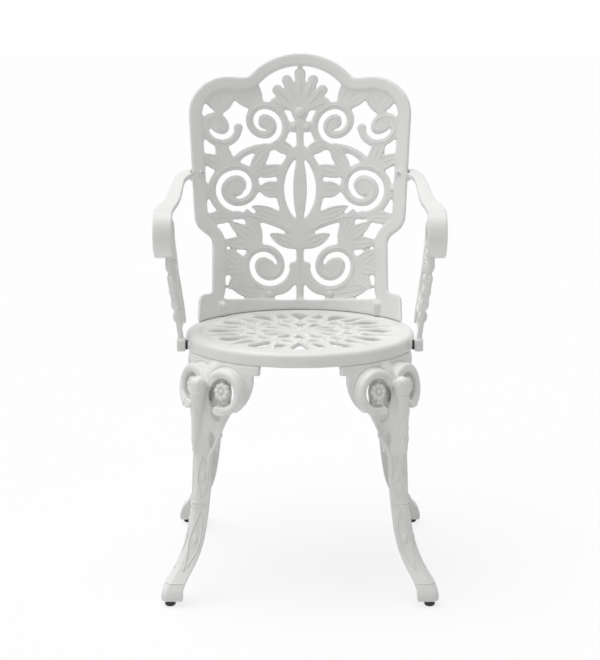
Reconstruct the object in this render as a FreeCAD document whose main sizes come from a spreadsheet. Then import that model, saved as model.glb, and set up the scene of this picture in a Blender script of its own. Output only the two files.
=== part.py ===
import FreeCAD, Part
import math
import os
import Sketcher
from FreeCAD import Placement, Rotation, Vector

# Driving sizes in millimetres and degrees, all in one sheet
SIZES = [
    ("seat_height", 430, "top of the seat above the floor"),
    ("seat_radius", 202, "outside of the seat rim"),
    ("rim_height", 24, "depth of the rim from the top of the seat"),
    ("rim_wall", 6, "thickness of the hanging rim wall"),
    ("rim_band", 28, "width of the plain band on top of the rim"),
    ("rim_round", 8, "rounding of the rim's upper edge"),
    ("plate_drop", 2, "pierced plate below the top of the rim"),
    ("plate_thickness", 7, "pierced plate of the seat"),
    ("back_height", 485, "back from seat to crest, along its slope"),
    ("back_recline", 12, "lean of the back from upright, degrees"),
    ("back_half_width", 211, "half the width over the shoulders"),
    ("shoulder_height", 437, "height of the shoulders along the slope"),
    ("shoulder_round", 74, "rounding of each shoulder"),
    ("crest_half_width", 99, "half the width of the crest arc"),
    ("crest_blend", 16, "hollow rounding where the crest meets a shoulder"),
    ("hip_half_width", 194, "half the width where the wide part turns in"),
    ("hip_height", 152, "where the wide part turns in"),
    ("waist_height", 130, "where the waist begins"),
    ("waist_half_width", 163, "half the width of the waist"),
    ("ear_half_width", 186, "half the width over the ears at the seat"),
    ("ear_height", 27, "height of the ears along the slope"),
    ("rail_height", 18, "bottom rail of the back"),
    ("frame_width", 24, "plain frame band of the back"),
    ("frame_thickness", 16, "frame band from front to rear"),
    ("frame_round", 3, "rounding of the outer edges of the frame band"),
    ("fret_thickness", 9, "pierced work from front to rear"),
    ("base_curve", 203, "radius of the back at the seat"),
    ("base_offset", 190, "middle of the back's foot behind the seat centre"),
    ("top_curve", 440, "radius of the back at the crest"),
    ("scroll_width", 14, "width of the scroll bands"),
    ("arm_rise", 215.5, "middle of the arm strap above the seat"),
    ("arm_climb", 44, "rise of the strap to the back"),
    ("arm_thickness", 9, "thickness of the strap"),
    ("arm_inner", 218, "inner edge of the strap from the middle"),
    ("arm_width", 33, "width of the strap in front"),
    ("arm_front", 42, "start of the front roll, ahead of the seat centre"),
    ("roll_radius", 38, "radius of the front roll"),
    ("arm_foot_y", 60, "bolting block ahead of the seat centre"),
    ("arm_block", 21, "height and depth of the bolting block"),
    ("arm_block_width", 15, "bolting block across"),
    ("arm_plate", 9, "thickness of the pierced arm support"),
    ("spacer_thickness", 3, "black spacer under the bolting block"),
    ("foot_spread", 219, "each glide from the middle, both ways"),
    ("leg_bow", 180, "ridge of the leg at its bow, both ways"),
    ("leg_head", 146, "ridge of the leg under the rim, both ways"),
    ("leg_wall", 9, "wall of the angle-shaped leg"),
    ("leg_flank", 33, "width of each flank of the leg"),
    ("bracket_angle", 25, "half the arc of a leg bracket, degrees"),
    ("bracket_drop", 90, "height of the bracket under the rim"),
    ("knee_flare", 24, "how far the knee flares out over the height of the bracket"),
    ("bracket_thickness", 8, "thickness of the bracket"),
    ("flange_thickness", 8, "bolting flange on top of a leg"),
    ("leg_bolt_angle", 17, "leg bolts either side of the leg, degrees"),
    ("bolt_circle", 184, "radius of the leg bolts' circle"),
    ("bolt_diameter", 8, "leg bolts"),
    ("small_bolt_diameter", 6, "back bolts, arm bolts and arm screws"),
    ("screw_head", 3.2, "height of an arm screw's head"),
    ("screw_head_radius", 4.8, "arm screw's head"),
    ("bolt_play", 0.2, "clearance of a bolt hole, on the radius"),
    ("washer_thickness", 1.6, "leg and back washers"),
    ("glide_height", 10, "glide under the foot"),
    ("glide_diameter", 18, "glide across"),
    ("stud_diameter", 8, "threaded stud of a glide"),
    ("stud_length", 22, "stud inside the leg"),
    ("stud_play", 0.05, "clearance of the stud in its bore, on the radius"),
]

doc = FreeCAD.newDocument("garden_armchair")
sheet = doc.addObject("Spreadsheet::Sheet", "sizes")
for row, (alias, value, note) in enumerate(SIZES, 1):
    sheet.set("A%d" % row, note)
    sheet.set("B%d" % row, str(value))
    sheet.setAlias("B%d" % row, alias)
doc.recompute()


def size(alias):
    """Value of one cell of the sheet."""
    return float(sheet.get(alias))


SEAT_Z = size("seat_height")
SEAT_R = size("seat_radius")
RIM_BOTTOM = SEAT_Z - size("rim_height")
PLATE_UNDER = SEAT_Z - size("plate_drop") - size("plate_thickness")
LEG_ANGLES = {"front_left": 225, "front_right": 315, "rear_right": 45, "rear_left": 135}


# Flat shapes, drawn in the XY plane

def point(radius, angle, centre=Vector(0, 0, 0)):
    """Point at an angle in degrees on a circle."""
    turn = math.radians(angle)
    return centre + Vector(radius * math.cos(turn), radius * math.sin(turn), 0)


def face_of(edges):
    """Flat face inside closed edges given in order."""
    return Part.Face(Part.Wire(edges))


def line(start, end):
    return Part.LineSegment(start, end).toShape()


def arc(start, middle, end):
    return Part.Arc(start, middle, end).toShape()


def disc(centre, radius):
    return Part.Face(Part.Wire(Part.makeCircle(radius, centre)))


def band(centre, radius, start, end, width):
    """Ring sector between two angles in degrees."""
    outer = radius + width / 2
    inner = radius - width / 2
    middle = (start + end) / 2
    return face_of([
        arc(point(outer, start, centre), point(outer, middle, centre), point(outer, end, centre)),
        line(point(outer, end, centre), point(inner, end, centre)),
        arc(point(inner, end, centre), point(inner, middle, centre), point(inner, start, centre)),
        line(point(inner, start, centre), point(outer, start, centre)),
    ])


def bar(start, end, width):
    """Straight strip with square ends."""
    along = (end - start).normalize()
    side = Vector(along.y, -along.x, 0) * (width / 2)
    corners = [start + side, end + side, end - side, start - side, start + side]
    return Part.Face(Part.makePolygon(corners))


def leaf(start, end, width):
    """Leaf pointed at both ends."""
    along = (end - start).normalize()
    side = Vector(along.y, -along.x, 0) * (width / 2)
    middle = (start + end) / 2
    return face_of([arc(start, middle + side, end), arc(end, middle - side, start)])


def drop(tip, centre, radius):
    """Petal with a round head and a pointed tip."""
    reach = (tip - centre).Length
    along = (tip - centre).normalize()
    lean = math.degrees(math.acos(radius / reach))
    bearing = math.degrees(math.atan2(along.y, along.x))
    first = point(radius, bearing + lean, centre)
    last = point(radius, bearing - lean, centre)
    return face_of([
        line(tip, first),
        arc(first, point(radius, bearing + 180, centre), last),
        line(last, tip),
    ])


def spray(base, bearings, reach, width):
    """Fan of leaves from one place."""
    return [leaf(base, point(reach, bearing, base), width) for bearing in bearings]


def volute(centre, radius, start, sense, width, step, halves):
    """Scroll of half circles that shrink inward to a ball; sense 1 turns anticlockwise."""
    faces = [disc(point(radius, start, centre), width * 0.6)]
    angle = start
    for _ in range(halves):
        low = min(angle, angle + 180 * sense)
        faces.append(band(centre, radius, low, low + 180, width))
        angle = angle + 180 * sense
        centre = centre + point(step, angle)
        radius = radius - step
    faces.append(disc(point(radius, angle, centre), width * 0.85))
    return faces


def joined(faces):
    """One flat face, with its windows, from overlapping faces."""
    plates = [face.extrude(Vector(0, 0, 1)) for face in faces]
    plate = plates[0].multiFuse(plates[1:]).removeSplitter()
    tops = [face for face in plate.Faces if face.CenterOfMass.z > 0.999]
    return max(tops, key=lambda face: face.Area).translated(Vector(0, 0, -1))


def mirrored(faces):
    """Faces with their copies across the middle line."""
    return faces + [face.mirror(Vector(0, 0, 0), Vector(1, 0, 0)) for face in faces]


def flipped(place):
    """Place across the middle line."""
    return Vector(-place.x, place.y, place.z)


def rounded(corners):
    """Edges of an open outline; each corner is a point with its rounding."""
    edges = []
    start = corners[0][0]
    for before, here, after in zip(corners, corners[1:], corners[2:]):
        corner, radius = here
        to_before = (before[0] - corner).normalize()
        to_after = (after[0] - corner).normalize()
        half = to_before.getAngle(to_after) / 2
        run = radius / math.tan(half)
        first = corner + to_before * run
        last = corner + to_after * run
        centre = corner + (to_before + to_after).normalize() * (radius / math.sin(half))
        middle = centre + (corner - centre).normalize() * radius
        edges.append(line(start, first))
        edges.append(arc(first, middle, last))
        start = last
    edges.append(line(start, corners[-1][0]))
    return edges


def solid_of(shape):
    """Main solid of a boolean result, with no sealed pockets inside it."""
    main = max(shape.removeSplitter().Solids, key=lambda solid: solid.Volume)
    return Part.Solid(main.OuterShell)


# Turned pieces and other bodies from sketches whose sizes are bound to the sheet

def plane(body, role):
    """Origin plane of a body by its role."""
    return [feature for feature in body.Origin.OriginFeatures if feature.Role == role][0]


def outline(body, name, role, corners):
    """Closed sketch of straight lines; each corner is a pair of expressions."""
    sketch = body.newObject("Sketcher::SketchObject", name)
    sketch.AttachmentSupport = (plane(body, role), [""])
    sketch.MapMode = "FlatFace"
    places = []
    for across, up in corners:
        places.append(Vector(float(sheet.evalExpression(across)), float(sheet.evalExpression(up)), 0))
    count = len(places)
    for index in range(count):
        sketch.addGeometry(Part.LineSegment(places[index], places[(index + 1) % count]))
    for index in range(count):
        sketch.addConstraint(Sketcher.Constraint("Coincident", index, 2, (index + 1) % count, 1))
    for index, (across, up) in enumerate(corners):
        for axis, other, word, text in ((-2, "DistanceX", "across", across), (-1, "DistanceY", "up", up)):
            if text == "0":
                sketch.addConstraint(Sketcher.Constraint("PointOnObject", index, 1, axis))
                continue
            value = places[index].x if other == "DistanceX" else places[index].y
            number = sketch.addConstraint(Sketcher.Constraint(other, -1, 1, index, 1, value))
            sketch.renameConstraint(number, "%s_%d" % (word, index))
            sketch.setExpression("Constraints.%s_%d" % (word, index), text)
    return sketch


def turned(name, corners):
    """Body turned about its own Z axis."""
    body = doc.addObject("PartDesign::Body", name)
    sketch = outline(body, name + "_outline", "XZ_Plane", corners)
    turn = body.newObject("PartDesign::Revolution", name + "_turn")
    turn.Profile = sketch
    turn.ReferenceAxis = (sketch, ["V_Axis"])
    turn.Angle = 360
    return body


NODES = {}


def node(name, shape):
    """Named piece of the chair."""
    piece = doc.addObject("Part::Feature", name)
    piece.Shape = shape
    NODES[name] = piece
    return piece


# Back panel: a curved slab, pierced and trimmed along one draw direction

BACK_PLACE = Placement(
    Vector(0, size("base_offset"), SEAT_Z),
    Rotation(Vector(1, 0, 0), 90 - size("back_recline")),
)
FORWARD = BACK_PLACE.Rotation.multVec(Vector(0, 0, 1))
# The scrollwork is laid out on a back of this half width and height
DRAWN_HALF_WIDTH = 211
DRAWN_HEIGHT = 485


RISE = BACK_PLACE.Rotation.multVec(Vector(0, 1, 0))
# The back is part of a cone: its axis leans forward so that the middle of the back keeps the recline
OPENING = math.atan2(size("top_curve") - size("base_curve"), size("back_height"))
CONE_TURN = Rotation(Vector(1, 0, 0), math.degrees(OPENING))
CONE_AXIS = CONE_TURN.multVec(RISE)
CONE_RADIUS = size("base_curve") * math.cos(OPENING)
CONE_AHEAD = CONE_TURN.multVec(FORWARD)
CONE_FOOT = Vector(0, size("base_offset"), SEAT_Z) + CONE_AHEAD * CONE_RADIUS
# The cone's seam is turned to the front, where there is no back
CONE_STANCE = Rotation(CONE_AHEAD, CONE_AXIS.cross(CONE_AHEAD), CONE_AXIS)


def slab(thickness):
    """Curved slab, tightly rounded at the seat and flatter at the crest, cut level at the seat."""
    spare = 60
    length = size("back_height") * math.cos(OPENING)
    slope = math.tan(OPENING)
    place = Placement(CONE_FOOT - CONE_AXIS * spare, CONE_STANCE)
    cones = []
    for side in (thickness / 2, -thickness / 2):
        radius = CONE_RADIUS + side / math.cos(OPENING)
        ends = (radius - spare * slope, radius + (length + spare) * slope)
        cone = Part.makeCone(ends[0], ends[1], length + 2 * spare)
        cone.Placement = place
        cones.append(cone)
    level = Part.makeBox(2000, 2000, 2000, Vector(-1000, 0, SEAT_Z))
    return cones[0].cut(cones[1]).common(level)


def behind(place):
    """Direction square to the slab and away from the sitter at a place on it."""
    out = place - CONE_FOOT
    out = (out - CONE_AXIS * out.dot(CONE_AXIS)).normalize()
    return out * math.cos(OPENING) - CONE_AXIS * math.sin(OPENING)


def through_back(face):
    """Flat shape of the back drawn out from behind the slab to well in front of it."""
    placed = face.copy()
    placed.Placement = BACK_PLACE
    placed.translate(FORWARD * -60)
    return placed.extrude(FORWARD * 260)


def back_face():
    """Outer outline of the back, from below the seat to the crest."""
    shoulder = size("shoulder_height")
    half_crest = size("crest_half_width")
    ear = size("ear_half_width")
    # The crest arc flows into each shoulder through a small hollow arc
    crest = Vector(0, size("back_height"), 0)
    rise = size("back_height") - shoulder
    radius = (half_crest ** 2 + rise ** 2) / (2 * rise)
    centre = crest - Vector(0, radius, 0)
    blend = size("crest_blend")
    lift = shoulder + blend - centre.y
    across = math.sqrt((radius + blend) ** 2 - lift ** 2)
    bearing = math.degrees(math.atan2(lift, across))
    blend_centre = Vector(across, shoulder + blend, 0)
    blend_foot = point(blend, 270, blend_centre)
    blend_middle = point(blend, (bearing + 180 + 270) / 2, blend_centre)
    blend_head = point(blend, bearing + 180, blend_centre)
    corners = [
        (blend_foot, 0),
        (Vector(size("back_half_width"), shoulder, 0), size("shoulder_round")),
        (Vector(size("hip_half_width"), size("hip_height"), 0), 36),
        (Vector(size("waist_half_width"), size("waist_height"), 0), 20),
        (Vector(size("waist_half_width"), size("ear_height"), 0), 8),
        (Vector(ear, size("ear_height"), 0), 13.5),
        (Vector(ear, -60, 0), 0),
    ]
    other = [(flipped(corner), radius) for corner, radius in reversed(corners)]
    edges = rounded(corners)
    edges.append(line(corners[-1][0], other[0][0]))
    edges.extend(rounded(other))
    edges.append(arc(flipped(blend_foot), flipped(blend_middle), flipped(blend_head)))
    edges.append(arc(flipped(blend_head), crest, blend_head))
    edges.append(arc(blend_head, blend_middle, blend_foot))
    return face_of(edges)


def spot(across, up):
    """Place in the scrollwork, right of the middle line and above the seat."""
    return Vector(across, up, 0)


def back_scrolls():
    """Scrollwork of the back: three tiers of paired scrolls about a middle stem."""
    width = size("scroll_width")
    step = width * 0.85
    ball = width * 0.75
    lower = spot(57, 82)
    middle = spot(118, 222)
    upper = spot(67, 345)
    shoulder = spot(147, 341)
    tail = 200
    link = 70
    half = volute(lower, 45, 180, 1, width, step, 4)
    half += volute(middle, 46, 270, 1, width, step, 4)
    half += volute(upper, 40, 270, -1, width, step, 4)
    half += volute(shoulder, 31, 180, 1, width, step, 3)
    half.append(band(middle - spot(0, 46 + tail), tail, 90, 126, width))
    half.append(band(upper - spot(0, 40 + link), link, 35, 90, width))
    half.append(disc(point(link, 35, upper - spot(0, 40 + link)), ball))
    # Balls that tie the scrolls to the frame and to the stem
    for across, up in ((57, 28), (172, 222), (183, 341), (13, 345)):
        half.append(disc(spot(across, up), ball))
    # Sprays of leaves between the scrolls and the frame
    half += spray(spot(98, 80), (-52, -10, 32), 56, 24)
    half += spray(spot(72, 122), (2, 34, 66), 74, 25)
    half += spray(spot(130, 262), (22, 66), 62, 27)
    half += spray(spot(146, 366), (54, 106), 62, 27)
    half += spray(spot(74, 378), (28, 70), 68, 25)
    # Single leaves, from foot to tip
    for foot, tip, broad in (
        ((57, 26), (130, 40), 26),
        ((50, 26), (6, 58), 20),
        ((0, 116), (58, 142), 24),
        ((118, 174), (184, 166), 24),
        ((24, 170), (92, 194), 22),
        ((30, 226), (78, 226), 32),
        ((22, 268), (90, 254), 25),
        ((94, 258), (57, 308), 25),
        ((10, 298), (54, 314), 24),
    ):
        half.append(leaf(spot(*foot), spot(*tip), broad))
    # Palmette under the crest
    root = spot(0, 372)
    for lean, reach in ((22, 66), (45, 60), (68, 50)):
        half.append(drop(root, point(reach, 90 - lean, root), 10))
    faces = mirrored(half)
    faces.append(drop(root, spot(0, 446), 11))
    faces.append(disc(root, 16))
    # Middle stem and the pointed ring above it
    faces.append(bar(spot(0, 10), spot(0, 160), width))
    faces.append(bar(spot(0, 290), root, width))
    faces.append(leaf(spot(0, 138), spot(0, 316), 90).cut(leaf(spot(0, 162), spot(0, 294), 60)))
    faces.append(leaf(spot(0, 150), spot(0, 306), 26))
    return joined(faces)


def stretched(face):
    """Scrollwork as drawn, or stretched with the back where its sizes are not the drawn ones."""
    wide = size("back_half_width") / DRAWN_HALF_WIDTH
    tall = size("back_height") / DRAWN_HEIGHT
    if wide == 1 and tall == 1:
        return face
    stretch = FreeCAD.Matrix()
    stretch.scale(wide, tall, 1)
    return face.transformGeometry(stretch)


def rod(start, direction, length, radius):
    """Round bar."""
    return Part.makeCylinder(radius, length, start, direction)


OUTER = back_face()
ABOVE_RAIL = Part.makePlane(1200, 1200, Vector(-600, size("rail_height"), 0))
FIELD = OUTER.makeOffset2D(-size("frame_width")).common(ABOVE_RAIL)
FRAME = OUTER.cut(FIELD)
# Square millimetres
SMALLEST_WINDOW = 110
FRAME_HALF = size("frame_thickness") / 2
FRAME_SLAB = slab(size("frame_thickness"))
FRET_SLAB = slab(size("fret_thickness"))
SMALL_RADIUS = size("small_bolt_diameter") / 2
SMALL_HOLE = SMALL_RADIUS + size("bolt_play")

# Arm screw: through the middle of the frame band at this height along the slope
SCREW_UP = 250
SIDE_SHARE = (SCREW_UP - size("hip_height")) / (size("shoulder_height") - size("hip_height"))
SCREW_OUT = size("hip_half_width") + SIDE_SHARE * (size("back_half_width") - size("hip_half_width"))
SCREW_OUT = SCREW_OUT - size("frame_width") / 2
SPOT = BACK_PLACE.multVec(Vector(SCREW_OUT, SCREW_UP, 0))
CROSSING = Part.makeLine(SPOT - FORWARD * 60, SPOT + FORWARD * 200).common(FRAME_SLAB)
SCREW_PLACE = CROSSING.Edges[0].CenterOfMass
SCREW_AXIS = behind(SCREW_PLACE)
PAD_RADIUS = 8
PAD_PROUD = 3
PAD_FACE = FRAME_HALF + PAD_PROUD
HEAD_FACE = FRAME_HALF + 0.6

# Back bolts: up through the rim into round swellings on the bottom rail
BACK_BOLT_ANGLE = 41
BACK_BOLT_UP = 22
BACK_BOLT_CIRCLE = size("base_offset") - 2
SWELL_RADIUS = 8
SWELL_HEIGHT = 20


def back_bolt_place(side, height):
    """Place on a back bolt's axis; side is 1 on the right and -1 on the left."""
    turn = math.radians(BACK_BOLT_ANGLE)
    return Vector(side * BACK_BOLT_CIRCLE * math.cos(turn), BACK_BOLT_CIRCLE * math.sin(turn), height)


def softened(frame):
    """Frame band with its outer edges rounded, front and rear."""
    edges = []
    for edge in frame.Edges:
        place = edge.valueAt((edge.FirstParameter + edge.LastParameter) / 2)
        middle = BACK_PLACE.inverse().multVec(place)
        gap = OUTER.OuterWire.distToShape(Part.Vertex(middle.x, middle.y, 0))[0]
        sides = [face.Surface.TypeId for face in frame.ancestorsOfType(edge, Part.Face)]
        if gap < 0.05 and sides.count("Part::GeomCone") == 1:
            edges.append(edge)
    return frame.makeFillet(size("frame_round"), edges)


def make_back():
    frame = softened(FRAME_SLAB.common(through_back(FRAME)).Solids[0])
    # Windows too small to mould are left closed
    openings = FIELD.cut(stretched(back_scrolls())).Faces
    windows = [opening for opening in openings if opening.Area > SMALLEST_WINDOW]
    pierced = OUTER.makeOffset2D(-size("frame_width") / 2).cut(windows)
    fret = FRET_SLAB.common(through_back(pierced))
    additions = [fret]
    holes = []
    for side in (1, -1):
        place = Vector(side * SCREW_PLACE.x, SCREW_PLACE.y, SCREW_PLACE.z)
        axis = Vector(side * SCREW_AXIS.x, SCREW_AXIS.y, SCREW_AXIS.z)
        additions.append(rod(place - axis * HEAD_FACE, axis, HEAD_FACE + PAD_FACE, PAD_RADIUS))
        holes.append(rod(place - axis * 40, axis, 80, SMALL_HOLE))
        foot = back_bolt_place(side, SEAT_Z)
        swell = rod(foot, Vector(0, 0, 1), SWELL_HEIGHT, SWELL_RADIUS)
        dome = Part.makeSphere(SWELL_RADIUS, foot + Vector(0, 0, SWELL_HEIGHT))
        additions.append(swell.fuse(dome))
        holes.append(rod(foot, Vector(0, 0, 1), BACK_BOLT_UP, SMALL_HOLE))
    return solid_of(frame.multiFuse(additions).cut(holes))


# Arm: strap from a side profile and a plan profile, pierced support, bolting block and rear lug

UPRIGHT = Rotation(Vector(0, 1, 0), Vector(0, 0, 1), Vector(1, 0, 0))
STRAP_Z = SEAT_Z + size("arm_rise")
ROLL_CENTRE = Vector(-size("arm_front"), STRAP_Z - size("roll_radius"), 0)
STRAP_FLAT_END = 40
STRAP_REAR = 204
RIM_BOSS_FACE = math.sqrt(SEAT_R ** 2 - size("arm_foot_y") ** 2) + 2.5
ARM_BOLT_DROP = 14.5
ARM_BOLT_PLACE = Vector(RIM_BOSS_FACE, -size("arm_foot_y"), SEAT_Z - ARM_BOLT_DROP)
BLOCK_INNER = RIM_BOSS_FACE + size("spacer_thickness")
LUG_RADIUS = 12
LUG_THICKNESS = 11


def upright(face, inner, depth):
    """Side-view shape, drawn as (y, z), stood up at an inner X and given a depth outward."""
    placed = face.copy()
    placed.Placement = Placement(Vector(inner, 0, 0), UPRIGHT)
    return placed.extrude(Vector(depth, 0, 0))


def strap_profile():
    """Side view of the strap: flat rest, double curve up to the back, scrolled roll in front."""
    thick = size("arm_thickness")
    climb = size("arm_climb")
    run = STRAP_REAR - 14 - STRAP_FLAT_END
    curve = (run ** 2 + climb ** 2) / (4 * climb)
    bend = math.degrees(math.asin(run / 2 / curve))
    flat_end = Vector(STRAP_FLAT_END, STRAP_Z, 0)
    rear = Vector(STRAP_FLAT_END + run, STRAP_Z + climb, 0)
    faces = [bar(Vector(ROLL_CENTRE.x, STRAP_Z, 0), flat_end, thick)]
    faces.append(band(flat_end + Vector(0, curve, 0), curve, 270, 270 + bend, thick))
    faces.append(band(rear - Vector(0, curve, 0), curve, 90, 90 + bend, thick))
    faces.append(bar(rear, rear + Vector(14, 0, 0), thick))
    faces += volute(ROLL_CENTRE, size("roll_radius"), 90, 1, thick, 9.5, 3)
    return joined(faces)


def strap_plan():
    """Top view of the strap: wide in front, drawn in to pass behind the back's frame."""
    inner = size("arm_inner")
    outer = inner + size("arm_width")
    ahead = -size("arm_front") - size("roll_radius") - 40
    edge = SCREW_PLACE.x
    corners = [
        (Vector(outer, ahead, 0), 0),
        (Vector(outer, 30, 0), 200),
        (Vector(edge + 40, 150, 0), 120),
        (Vector(edge + 20, STRAP_REAR + 10, 0), 0),
        (Vector(edge - 6, STRAP_REAR + 10, 0), 0),
        (Vector(edge + 2, 172, 0), 20),
        (Vector(edge + 22, 140, 0), 40),
        (Vector(inner, 40, 0), 200),
        (Vector(inner, ahead, 0), 0),
    ]
    edges = rounded([(corners[0][0], 0)] + corners[1:3] + [corners[3]])
    edges.append(line(corners[3][0], corners[4][0]))
    edges += rounded([corners[4]] + corners[5:8] + [corners[8]])
    edges.append(line(corners[8][0], corners[0][0]))
    return face_of(edges)


def support_face():
    """Side view of the pierced support under the arm."""
    width = size("arm_thickness")
    foot = -size("arm_foot_y")
    base = SEAT_Z
    heart = Vector(foot + 44, base + 70, 0)
    brace = 300
    top = STRAP_Z
    faces = [bar(Vector(foot, base - 20, 0), Vector(foot, base + 72, 0), 12)]
    faces += volute(heart, 44, 180, -1, width, 8, 4)
    faces.append(band(heart + Vector(44 + brace, 0, 0), brace, 149.5, 180, width))
    faces.append(disc(Vector(foot + 24, base + 127, 0), 13))
    faces.append(leaf(Vector(foot, base + 40, 0), Vector(foot - 24, base + 112, 0), 20))
    faces.append(leaf(Vector(foot, base + 20, 0), Vector(foot + 46, base + 20, 0), 16))
    faces.append(leaf(Vector(foot + 80, base + 92, 0), Vector(foot + 62, base + 164, 0), 20))
    faces.append(leaf(Vector(foot + 86, base + 70, 0), Vector(foot + 78, base + 6, 0), 18))
    faces.append(leaf(Vector(foot + 90, base + 90, 0), Vector(foot + 112, top + 3, 0), 24))
    faces.append(leaf(Vector(foot + 2, base + 84, 0), Vector(foot + 2, base + 150, 0), 18))
    return joined(faces)


def make_arm():
    """Right arm."""
    strap = upright(strap_profile(), 150, 200)
    plan = strap_plan()
    plan.translate(Vector(0, 0, SEAT_Z))
    strap = strap.common(plan.extrude(Vector(0, 0, 600)))
    block = size("arm_block")
    block_width = size("arm_block_width")
    middle = BLOCK_INNER + block_width / 2
    thick = size("arm_plate")
    plate = upright(support_face(), middle - thick / 2, thick)
    reach = size("arm_inner") + size("arm_width") / 2 - middle
    lean = math.degrees(math.atan2(reach, size("arm_rise")))
    plate.rotate(Vector(middle, 0, SEAT_Z), Vector(0, 1, 0), lean)
    corner = Vector(BLOCK_INNER, ARM_BOLT_PLACE.y - block / 2, ARM_BOLT_PLACE.z - block / 2)
    foot = Part.makeBox(block_width, block, block, corner)
    lug = rod(SCREW_PLACE + SCREW_AXIS * PAD_FACE, SCREW_AXIS, LUG_THICKNESS, LUG_RADIUS)
    room = slab(size("frame_thickness") + 2 * PAD_PROUD).common(through_back(OUTER.makeOffset2D(2)))
    bolt_start = Vector(BLOCK_INNER, ARM_BOLT_PLACE.y, ARM_BOLT_PLACE.z)
    bolt_hole = rod(bolt_start, Vector(1, 0, 0), 11, SMALL_HOLE)
    screw_hole = rod(SCREW_PLACE + SCREW_AXIS * (PAD_FACE - 1), SCREW_AXIS, 10, SMALL_HOLE)
    arm = strap.cut(room).multiFuse([plate, foot, lug])
    return solid_of(arm.cut([bolt_hole, screw_hole]))


# Leg, built for the rear right corner: bowed shaft of angle section, scroll bracket and bolting flange

FOOT_RIDGE = size("foot_spread") + 14
# Share of the leg's height, way from head to bow or bow to foot, share of the wall, share of the flank
UPPER_COURSES = (
    (1.0, 0.0, 1.0, 0.6),
    (0.91, 0.5, 1.0, 0.6),
    (0.81, 0.82, 1.0, 0.8),
    (0.69, 1.0, 1.0, 1.22),
)
LOWER_COURSES = (
    (0.62, 0.0, 1.0, 1.03),
    (0.52, 0.01, 1.0, 0.95),
    (0.33, 0.13, 1.0, 0.93),
    (0.19, 0.37, 1.3, 0.95),
    (0.115, 0.66, 2.0, 0.97),
    (0.055, 0.95, 2.6, 1.06),
    (0.0, 1.0, 2.7, 1.08),
)
# The knee is part of a cone that comes to a point on the leg's ridge, below the bracket
KNEE_OPENING = math.radians(47)
KNEE_LEAN = math.atan2(size("knee_flare"), size("bracket_drop"))
KNEE_RUN = SEAT_R / math.tan(KNEE_OPENING)
KNEE_TIP = Vector(SEAT_R + KNEE_RUN * math.sin(KNEE_LEAN), 0, RIM_BOTTOM - KNEE_RUN * math.cos(KNEE_LEAN))
KNEE_AXIS = Vector(-math.sin(KNEE_LEAN + KNEE_OPENING), 0, math.cos(KNEE_LEAN + KNEE_OPENING))
KNEE_TALL = 260
BRACKET_REACH = SEAT_R * math.sin(math.radians(size("bracket_angle")))
KNEE_SCROLL = Vector(BRACKET_REACH * 0.42, RIM_BOTTOM - size("bracket_drop") * 0.51, 0)
KNEE_SCROLL_RADIUS = BRACKET_REACH * 0.36
KNEE_SCROLL_WIDTH = 14
KNEE_SCROLL_PROUD = 17
KNEE_LEAF_PROUD = 4
FLANGE_INNER = 172
# Each wing of the knee is moulded square to itself, turned this far from the corner about a pivot
KNEE_TURN = 22
KNEE_PIVOT = Vector(SEAT_R + 20, 0, 0)
# A round stem runs down the ridge from the top of the knee and dies out on the leg
STEM_TOP = Vector(SEAT_R + 39, 0, RIM_BOTTOM - 34)
STEM_TOP_RADIUS = 13.5
STEM_TIP = Vector(size("leg_bow") * math.sqrt(2) - 5, 0, RIM_BOTTOM - 150)
STEM_TIP_RADIUS = 5
LEG_BOLT_RADIUS = size("bolt_diameter") / 2
LEG_HOLE = LEG_BOLT_RADIUS + size("bolt_play")


def angle_section(height, ridge, wall, flank):
    """Angle section with its ridge on the diagonal and a small flat on the ridge."""
    flat = 7
    corners = [
        (ridge - flat, ridge),
        (ridge, ridge - flat),
        (ridge, ridge - flank),
        (ridge - wall, ridge - flank),
        (ridge - wall, ridge - wall),
        (ridge - flank, ridge - wall),
        (ridge - flank, ridge),
    ]
    places = [Vector(x, y, height) for x, y in reversed(corners)]
    return Part.makePolygon(places + places[:1])


def leg_shaft():
    floor = size("glide_height")
    tall = RIM_BOTTOM - floor
    head = size("leg_head")
    bow = size("leg_bow")
    wires = []
    for share, way, wall, flank in UPPER_COURSES:
        ridge = head + way * (bow - head)
        sizes_here = (wall * size("leg_wall"), flank * size("leg_flank"))
        wires.append(angle_section(floor + share * tall, ridge, *sizes_here))
    for share, way, wall, flank in LOWER_COURSES:
        ridge = bow + way * (FOOT_RIDGE - bow)
        sizes_here = (wall * size("leg_wall"), flank * size("leg_flank"))
        wires.append(angle_section(floor + share * tall, ridge, *sizes_here))
    return Part.makeLoft(wires, True, False)


def bracket_face():
    """Front view of the bracket's moulded top edge and its middle."""
    edge = bar(Vector(-BRACKET_REACH, RIM_BOTTOM - 8, 0), Vector(BRACKET_REACH, RIM_BOTTOM - 8, 0), 16)
    middle = bar(Vector(0, RIM_BOTTOM, 0), Vector(0, RIM_BOTTOM - size("bracket_drop"), 0), 30)
    return joined([edge, middle])


def knee_plate_face():
    """Front view of the plate outside the right scroll, from the bracket's end down to the web."""
    top = Vector(BRACKET_REACH - 2, RIM_BOTTOM - 15, 0)
    side = Vector(BRACKET_REACH - 5, RIM_BOTTOM - 51, 0)
    foot = Vector(BRACKET_REACH * 0.66, RIM_BOTTOM - 81, 0)
    low, middle, high = [point(KNEE_SCROLL_RADIUS, angle, KNEE_SCROLL) for angle in (-60, 0, 60)]
    return face_of([arc(top, side, foot), line(foot, low), arc(low, middle, high), line(high, top)])


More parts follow.
